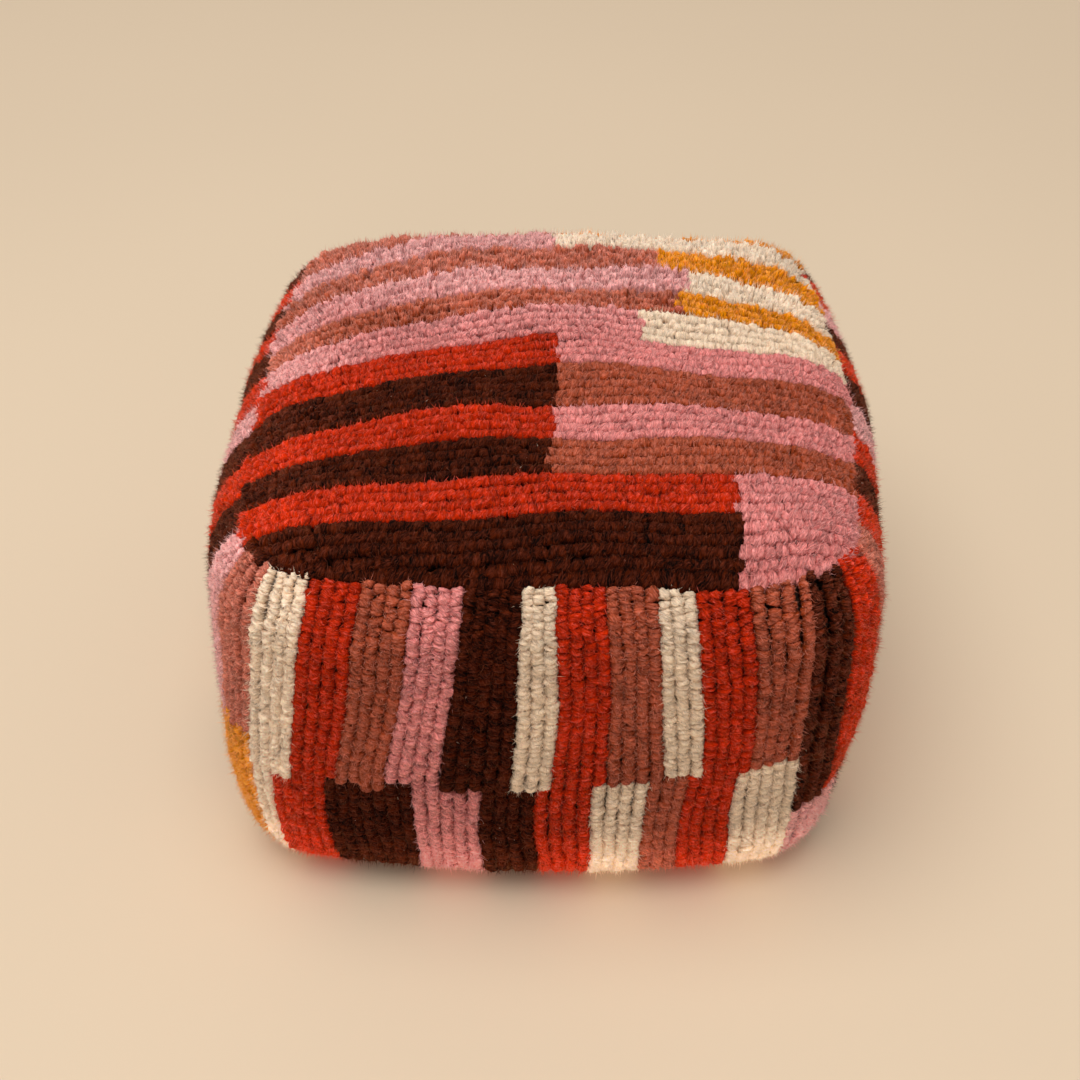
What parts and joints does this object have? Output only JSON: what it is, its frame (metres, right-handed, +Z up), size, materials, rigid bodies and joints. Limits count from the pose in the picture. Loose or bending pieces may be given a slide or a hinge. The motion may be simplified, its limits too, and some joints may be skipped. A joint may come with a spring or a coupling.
{
  "type": "tufted floor pouf",
  "caption": "Square stuffed floor pouf with striped wool pile on its top and sides, sewn from panels, with a zipped canvas base and an inner cushion.",
  "frame": {"origin": "middle of the base on the floor", "axes": "+Z up, front panel facing -Y, +X to the right as one stands before the front"},
  "size_m": [0.56, 0.56, 0.38],
  "materials": {
    "wool_red": "cut wool pile, matt",
    "wool_brown": "cut wool pile, matt",
    "wool_pink": "cut wool pile, matt",
    "wool_rose": "cut wool pile, matt",
    "wool_cream": "cut wool pile, matt",
    "wool_ochre": "cut wool pile, matt",
    "woven_ground": "plain weave, matt",
    "seam_thread": "twisted thread",
    "base_canvas": "plain canvas weave",
    "zip_tape": "herringbone tape",
    "zip_metal": "antique",
    "bag_cotton": "calico",
    "filling_fibre": "loose fibre"
  },
  "bodies": {
    "pouf": {"top_pile_red": "wool_red", "top_pile_brown": "wool_brown", "top_pile_pink": "wool_pink", "top_pile_rose": "wool_rose", "top_pile_cream": "wool_cream", "top_pile_ochre": "wool_ochre", "front_pile_red": "wool_red", "front_pile_brown": "wool_brown", "front_pile_pink": "wool_pink", "front_pile_rose": "wool_rose", "front_pile_cream": "wool_cream", "right_pile_red": "wool_red", "right_pile_brown": "wool_brown", "right_pile_pink": "wool_pink", "right_pile_rose": "wool_rose", "right_pile_cream": "wool_cream", "back_pile_red": "wool_red", "back_pile_brown": "wool_brown", "back_pile_pink": "wool_pink", "back_pile_rose": "wool_rose", "back_pile_cream": "wool_cream", "left_pile_red": "wool_red", "left_pile_brown": "wool_brown", "left_pile_pink": "wool_pink", "left_pile_rose": "wool_rose", "left_pile_cream": "wool_cream", "left_pile_ochre": "wool_ochre", "top_ground": "woven_ground", "front_ground": "woven_ground", "right_ground": "woven_ground", "back_ground": "woven_ground", "left_ground": "woven_ground", "top_seam_thread": "seam_thread", "corner_seam_threads": "seam_thread", "base_seam_thread": "seam_thread", "base_main_panel": "base_canvas", "base_rear_strip": "base_canvas", "base_end_folds": "base_canvas", "zip_tape_front": "zip_tape", "zip_tape_rear": "zip_tape", "zip_end_tabs": "zip_tape", "zip_teeth_front": "zip_metal", "zip_teeth_rear": "zip_metal", "zip_top_stops": "zip_metal", "zip_bottom_stop": "zip_metal", "inner_bag": "bag_cotton", "filling": "filling_fibre"},
    "slider": {"zip_slider": "zip_metal", "zip_pull_pin": "zip_metal"},
    "pull": {"zip_pull": "zip_metal"}
  },
  "joints": [
    {"name": "zip_slide", "type": "slide", "parent": "pouf", "child": "slider", "axis": [-1, 0, 0], "range_m": [0, 0.32], "deforming": ["zip_teeth_front", "zip_teeth_rear"]},
    {"name": "pull_swing", "type": "hinge", "parent": "slider", "child": "pull", "pos_m": [0.1575, 0.15, 0.0034], "axis": [0, -1, 0], "range_deg": [0, 175]}
  ]
}
